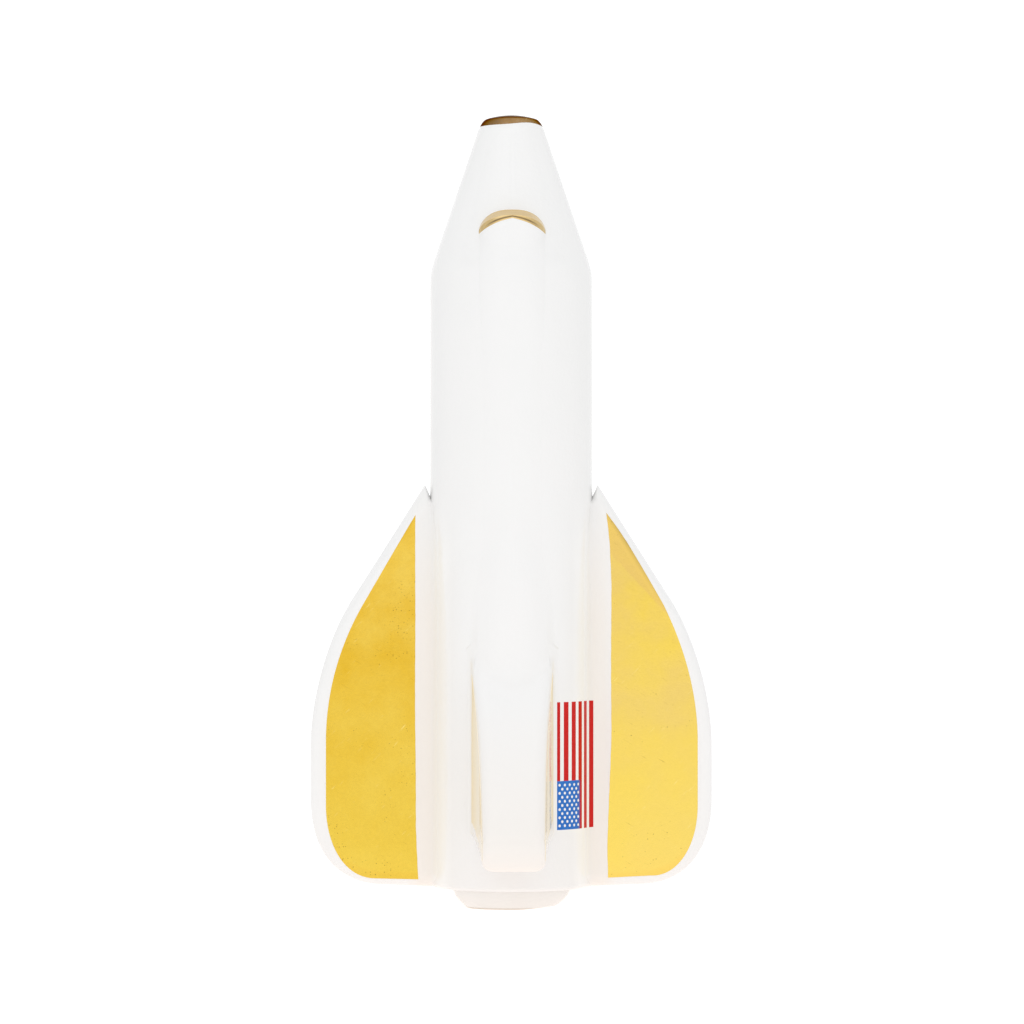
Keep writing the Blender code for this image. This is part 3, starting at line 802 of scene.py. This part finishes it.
nose_lustre = gold_material("nose_lustre", (0.22, 0.13, 0.07), (0.44, 0.30, 0.17),
                            (0.30, 0.20, 0.10), 0.14, 3.5, 0.6, 0.6)
nose_lustre.node_tree.nodes["Principled BSDF"].inputs["Specular Tint"].default_value = (
    0.25, 0.17, 0.10, 1.0)
nose_gold.data.materials.append(nose_lustre)

# ----------------------------------------------------------------------
# Windscreen gilding. A crescent of gold lustre on the canopy's steep front, drawn up to a point
# in the middle where it runs over the edge on to the roof. A painted dark reflection follows the
# fold.

ACROSS_GLASS, DOWN_GLASS = 121, 40
pane = np.linspace(-0.995, 0.995, ACROSS_GLASS)[None, :]
glass_front = canopy_outline(np.abs(pane))
glass_back = canopy_front - 3.8 - 2.8 * np.abs(pane) - 2.9 * np.abs(pane) ** 2.6
glass_back = np.minimum(glass_back, glass_front - 0.05)
down = np.linspace(0.0, 1.0, DOWN_GLASS)[:, None]
pane_levels = glass_front + down * (glass_back - glass_front)
pane_x = np.broadcast_to(pane * spine_half, pane_levels.shape)
pane_height = dorsal_height(pane_x, pane_levels)
windscreen = close_sheets("windscreen_gold",
                          to_points(pane_x, pane_height + 0.04, pane_levels + 0.03),
                          to_points(pane_x, pane_height - 0.06, pane_levels - 0.03))
down_glass = windscreen.data.attributes.new("down_glass", "FLOAT", "POINT")
down_glass.data.foreach_set("value", np.tile(np.repeat(down, ACROSS_GLASS), 2))
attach(windscreen, "root")
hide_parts("windscreen_gilding")


def coat_over(made, mask, colour):
    """Lay one more colour over a finished material where a mask says."""
    tree = made.node_tree
    socket = tree.nodes["Principled BSDF"].inputs["Base Color"]
    tree.links.new(mix(tree, mask, socket.links[0].from_socket, colour), socket)


glass_lustre = gold_material("windscreen_lustre", (0.70, 0.50, 0.22), (0.86, 0.68, 0.38),
                             (0.70, 0.55, 0.30), 0.09, 2.6, 0.01)
tree = glass_lustre.node_tree
down_pane = add(tree, "Attribute", attribute_name="down_glass").outputs["Fac"]
from_fold = calc(tree, "ABSOLUTE", calc(tree, "SUBTRACT", down_pane, 0.80))
place = add(tree, "TexCoord").outputs["Object"]
across = calc(tree, "ABSOLUTE", add(tree, "SeparateXYZ", (0, place)).outputs["X"])
# Painted dark reflection: a dark brown line along the fold, near the middle of the crescent.
painted_fold_reflection = calc(tree, "MULTIPLY", ramp(tree, from_fold, 0.02, 0.13, 0.80, 0.0),
            ramp(tree, across, 0.0105, 0.0065))
coat_over(glass_lustre, painted_fold_reflection, (0.10, 0.055, 0.02))
windscreen.data.materials.append(glass_lustre)

# ----------------------------------------------------------------------
# Wing gilding. A panel of gold lustre brushed on each wing, short of the edge all round except at
# the trailing edge. The left is deep and pitted; the right is paler, with a painted darker
# reflection across its front.


def gilded_wing(side, apex, lead, outer, corner, aft, inner):
    """Film over the wing's upper face: for each x, rows from the aft line to the leading line;
    the inboard columns follow the inner line, which wavers along its length."""
    leading = np.vstack([bezier((outer, 62.0), (outer, 80.0), (65.8, 97.5), lead, steps=90),
                         [apex]])
    trailing = np.vstack([[(30.0, aft)], bezier(corner, (62.5, aft + 0.6), (outer - 0.1, 22.0),
                                                (outer, 38.0), steps=90)])
    out = np.sin(np.linspace(0.0, 0.5 * np.pi, 90)) ** 1.15
    x = (apex[0] + (outer - 0.01 - apex[0]) * out)[None, :]
    low = np.interp(x, trailing[:, 0], trailing[:, 1])
    high = np.interp(x, leading[::-1, 0], leading[::-1, 1])
    level = low + np.linspace(0.0, 1.0, 200)[:, None] * (high - low)
    shift = np.interp(level, inner[:, 0], inner[:, 1]) - apex[0]
    waver = 0.06 * np.sin(0.11 * level + side) + 0.03 * np.sin(0.83 * level + 2.0)
    x = x + (shift + waver) * (1 - out[None, :]) ** 3
    height = wing_top_height(x, level)
    return close_sheets(("left" if side < 0 else "right") + "_wing_gold",
                        to_points(side * x, height + FILM, level),
                        to_points(side * x, height - FILM, level))


left_inner = np.array([(9.0, 35.3), (30.0, 36.2), (70.0, 36.5), (120.0, 36.5), (148.0, 36.4)])
right_inner = np.array([(9.0, 36.6), (22.0, 36.3), (40.0, 37.0), (64.0, 37.8), (123.0, 37.8),
                        (138.0, 37.2), (149.0, 36.0)])
left_gold = gilded_wing(-1.0, (36.6, 148.1), (56.2, 114.3), 70.3, (52.0, 10.4), 9.9, left_inner)
right_gold = gilded_wing(1.0, (37.6, 148.9), (57.5, 114.3), 70.6, (53.0, 11.4), 10.2, right_inner)

left_lustre = gold_material("left_wing_lustre", (0.70, 0.41, 0.018), (0.78, 0.54, 0.085),
                            (0.81, 0.60, 0.085), 0.16, 2.8, 0.6)
right_lustre = gold_material("right_wing_lustre", (0.80, 0.58, 0.095), (0.74, 0.53, 0.16),
                             (0.90, 0.68, 0.14), 0.12, 3.0, 0.12, 0.05)
tree = right_lustre.node_tree
place = add(tree, "TexCoord").outputs["Object"]
outward = add(tree, "VectorMath", (0, place), (1, (0.733, 0.0, 0.680)),
              operation="DOT_PRODUCT").outputs["Value"]
# Painted darker reflection: beyond a diagonal line, the panel's outer front is coloured darker.
painted_reflection_band = ramp(tree, outward, 0.1179, 0.1187, 0.0, 0.55)
coat_over(right_lustre, painted_reflection_band, (0.70, 0.47, 0.14))
for gold, node, lustre in ((left_gold, "left_wing_gilding", left_lustre),
                           (right_gold, "right_wing_gilding", right_lustre)):
    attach(gold, "root")
    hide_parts(node)
    gold.data.materials.append(lustre)

# ----------------------------------------------------------------------
# Fin gilding. Both flanks of the fin are gilded from the root up to the rounded edge, which gives
# each patch the shape of a leaf.


def gilded_flank(name, side):
    """Film over one flank, from the top of the root fillet to near the tip and from the rear
    corner to the front one, with both limits wavering a little."""
    columns = np.flatnonzero((fin_side == side) & (fin_width_share >= 1.0))
    if side < 0:
        columns = columns[::-1]
    climb = np.linspace(0.0, 1.0, 110)[:, None]
    x, height, level = (field[:, columns] for field in fin_wall(0.93 * climb))
    waver = 0.25 * np.sin(21.0 * climb + side) + 0.15 * np.sin(47.0 * climb)
    first = ARC + 1.5 + waver
    last = ARC + run_z.size - 1.0 + waver
    where = first + np.linspace(0.0, 1.0, 70)[None, :] * (last - first)
    below = np.clip(where.astype(int), 0, columns.size - 2)
    part = where - below
    row = np.arange(climb.size)[:, None]
    x, height, level = ((1 - part) * field[row, below] + part * field[row, below + 1]
                        for field in (x, height, level))
    surface = to_points(x, height, level)
    out = np.array([side * FILM, 0.0, 0.0])
    return close_sheets(name, surface + out, surface - out)


fin_lustre = gold_material("fin_lustre", (0.91, 0.77, 0.48), (0.95, 0.84, 0.60),
                           (0.93, 0.79, 0.52), 0.05, 1.2, 0.02, 0.02)
for name, side in (("left", -1.0), ("right", 1.0)):
    leaf = gilded_flank(name + "_fin_gold", side)
    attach(leaf, "root")
    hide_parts(name + "_fin_gilding")
    leaf.data.materials.append(fin_lustre)

# ----------------------------------------------------------------------
# Flag transfer. Screen-printed ceramic colours on a film, slid on to the right shoulder and fired
# in: red stripes up the body, the last on the wing's fillet, and a blue corner with white dots.

flag_low, flag_high = (np.array(corner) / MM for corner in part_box("flag_transfer"))
flag_start = radius * np.radians(33.4) - 1.05
stripe = 2.065
canton_start = flag_start + 0.7
canton_width = 12.6
canton_top = flag_low[2] + 18.3
dot_radius = 0.54
INK = 0.02                                  # half the print's thickness


def shoulder(along):
    """x and height on the shoulder at a distance along it from the crown, round the back and then
    down the wing's fillet, and the parts of the outward direction there."""
    centre = np.sqrt((radius + root_fillet) ** 2 - (wing_top + root_fillet) ** 2)
    touch = np.arctan2(centre, wing_top + root_fillet)
    theta = np.minimum(along / radius, touch)
    phi = touch - np.maximum(along - radius * touch, 0.0) / root_fillet
    x = radius * np.sin(theta) + root_fillet * (np.sin(touch) - np.sin(phi))
    height = radius * np.cos(theta) + root_fillet * (np.cos(touch) - np.cos(phi))
    lean = np.where(along > radius * touch, phi, theta)
    return x, height, np.sin(lean), np.cos(lean)


def printed(along, level, rise):
    """Points a little above the shoulder's surface."""
    x, height, lean_x, lean_height = shoulder(along)
    return to_points(x + rise * lean_x, height + rise * lean_height, level)


def print_patch(name, near, far, low, high):
    """A rectangle of colour printed on the shoulder."""
    along = np.linspace(near, far, max(4, int((far - near) / 0.25)))[None, :]
    level = np.linspace(low, high, 40)[:, None]
    return close_sheets(name, printed(along, level, INK), printed(along, level, -INK))


def print_material(name, full, worn):
    """Fired enamel, a little uneven in strength where the film was thin."""
    made, tree, shader, place = new_material(name, 0.3)
    shader.inputs["IOR"].default_value = 1.3
    patch = use_group(tree, mottle_group, place, Scale=500.0, Contrast=2.2)
    tree.links.new(mix(tree, patch, full, worn), shader.inputs["Base Color"])
    return made


flag_red = print_material("flag_red", (0.54, 0.001, 0.001), (0.60, 0.006, 0.004))
flag_blue = print_material("flag_blue", (0.012, 0.13, 0.52), (0.03, 0.19, 0.60))
flag_white = print_material("flag_white", (0.84, 0.84, 0.84), (0.88, 0.88, 0.87))
flag_pieces = []
for count in range(6):
    near = flag_start + (2 * count - 0.08) * stripe
    low = canton_top if count < 3 else flag_low[2]
    flag_pieces.append(print_patch(f"flag_stripe_{count + 1}", near, near + 1.16 * stripe, low,
                                   flag_high[2] - 0.6))
flag_pieces.append(print_patch("flag_corner", canton_start, canton_start + canton_width,
                               flag_low[2], canton_top))

row, place = np.meshgrid(np.arange(1, 10), np.arange(1, 12), indexing="ij")
chosen = (row + place) % 2 == 0
dot_along = canton_start + canton_width * row[chosen] / 10
dot_level = flag_low[2] + (canton_top - flag_low[2]) * place[chosen] / 12
dot_turn = np.linspace(0.0, 2 * np.pi, 12, endpoint=False)
edge_along = dot_along[:, None] + dot_radius * np.cos(dot_turn)
edge_level = dot_level[:, None] + dot_radius * np.sin(dot_turn)
dot_edge = printed(edge_along, edge_level, INK + 0.01)
dot_top = printed(dot_along, dot_level, INK + 0.015)
dot_under = printed(dot_along, dot_level, 0.0)
dots = dot_along.size
dot_points = np.vstack([dot_edge.reshape(-1, 3), dot_top, dot_under])
corner = np.arange(dot_turn.size)
which = np.repeat(np.arange(dots), corner.size)
first = which * corner.size + np.tile(corner, dots)
second = which * corner.size + np.tile(np.roll(corner, -1), dots)
crown_of = dots * dot_turn.size + which
dot_faces = np.vstack([np.stack([first, second, crown_of, crown_of], axis=1),
                       np.stack([second, first, crown_of + dots, crown_of + dots], axis=1)])
flag_pieces.append(make_piece("flag_dots", dot_points, dot_faces))
for piece, ink in zip(flag_pieces, [flag_red] * 6 + [flag_blue, flag_white]):
    piece.data.materials.append(ink)
    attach(piece, "root")
    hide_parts("flag_transfer")

# ----------------------------------------------------------------------
# Studio. A white table that glows, with a painted warm pool of light round the ornament, in a
# white tent whose sides are a little darker than its front, back and roof.

floor_mesh = bpy.data.meshes.new("studio_floor")
floor_mesh.from_pydata([(-8, -8, 0), (8, -8, 0), (8, 8, 0), (-8, 8, 0)], [], [(0, 1, 2, 3)])
floor = bpy.data.objects.new("studio_floor", floor_mesh)
bpy.context.scene.collection.objects.link(floor)
floor_paint, tree, shader, place = new_material("table_white", 0.9)
away = add(tree, "VectorMath", (0, place), operation="LENGTH").outputs["Value"]
shader.inputs["Base Color"].default_value = (0.1, 0.1, 0.1, 1.0)
# Painted light: the table glows, warmest in a pool round the ornament, and lights the porcelain
# from below.
lit = mix(tree, ramp(tree, away, 0.06, 0.30), (1.05, 0.975, 0.93), (0.97, 0.97, 0.97))
tree.links.new(lit, shader.inputs["Emission Color"])
shader.inputs["Emission Strength"].default_value = 1.0
floor_mesh.materials.append(floor_paint)

world = bpy.data.worlds.new("studio")
bpy.context.scene.world = world
world.use_nodes = True
tree = world.node_tree
background = tree.nodes["Background"]
way = add(tree, "SeparateXYZ", (0, add(tree, "TexCoord").outputs["Generated"]))
sides = ramp(tree, calc(tree, "ABSOLUTE", way.outputs["X"]), 0.25, 0.9, 1.0, 0.67)
seam_up = calc(tree, "ABSOLUTE", calc(tree, "SUBTRACT", way.outputs["Z"], 0.46))
seam_dark = ramp(tree, seam_up, 0.03, 0.08, 0.45, 1.0)
front_only = ramp(tree, way.outputs["Y"], -0.2, 0.0)
seam_dark = calc(tree, "MAXIMUM", seam_dark, front_only)
behind = ramp(tree, way.outputs["Y"], 0.1, 0.7, 1.0, 0.88)
tent = calc(tree, "MULTIPLY", calc(tree, "MULTIPLY", sides, seam_dark), behind)
seen = add(tree, "LightPath").outputs["Is Camera Ray"]
tent = calc(tree, "MAXIMUM", tent, seen)
tree.links.new(tent, background.inputs["Color"])
background.inputs["Strength"].default_value = 1.215

lamp_data = bpy.data.lights.new("softbox", "AREA")
lamp_data.shape = "RECTANGLE"
lamp_data.size = 1.2
lamp_data.size_y = 1.2
lamp_data.energy = 0.9
lamp = bpy.data.objects.new("softbox", lamp_data)
lamp.location = (-0.9, -1.5, 1.5)
lamp.rotation_euler = (0.86, 0.0, -0.54)
bpy.context.scene.collection.objects.link(lamp)

camera_data = bpy.data.cameras.new("camera")
camera_data.lens = 157.1
camera_data.sensor_width = 36.0
camera_data.clip_end = 100.0
camera = bpy.data.objects.new("camera", camera_data)
turn_left, distance, eye_level = np.radians(0.8), 1.700, 0.1492
camera.location = (-distance * np.sin(turn_left), axis_y * MM - distance * np.cos(turn_left),
                   eye_level)
camera.rotation_euler = (0.5 * np.pi, 0.0, -turn_left)
camera_data.shift_x = 0.0007
bpy.context.scene.collection.objects.link(camera)
bpy.context.scene.camera = camera
bpy.context.scene.view_settings.view_transform = "Standard"
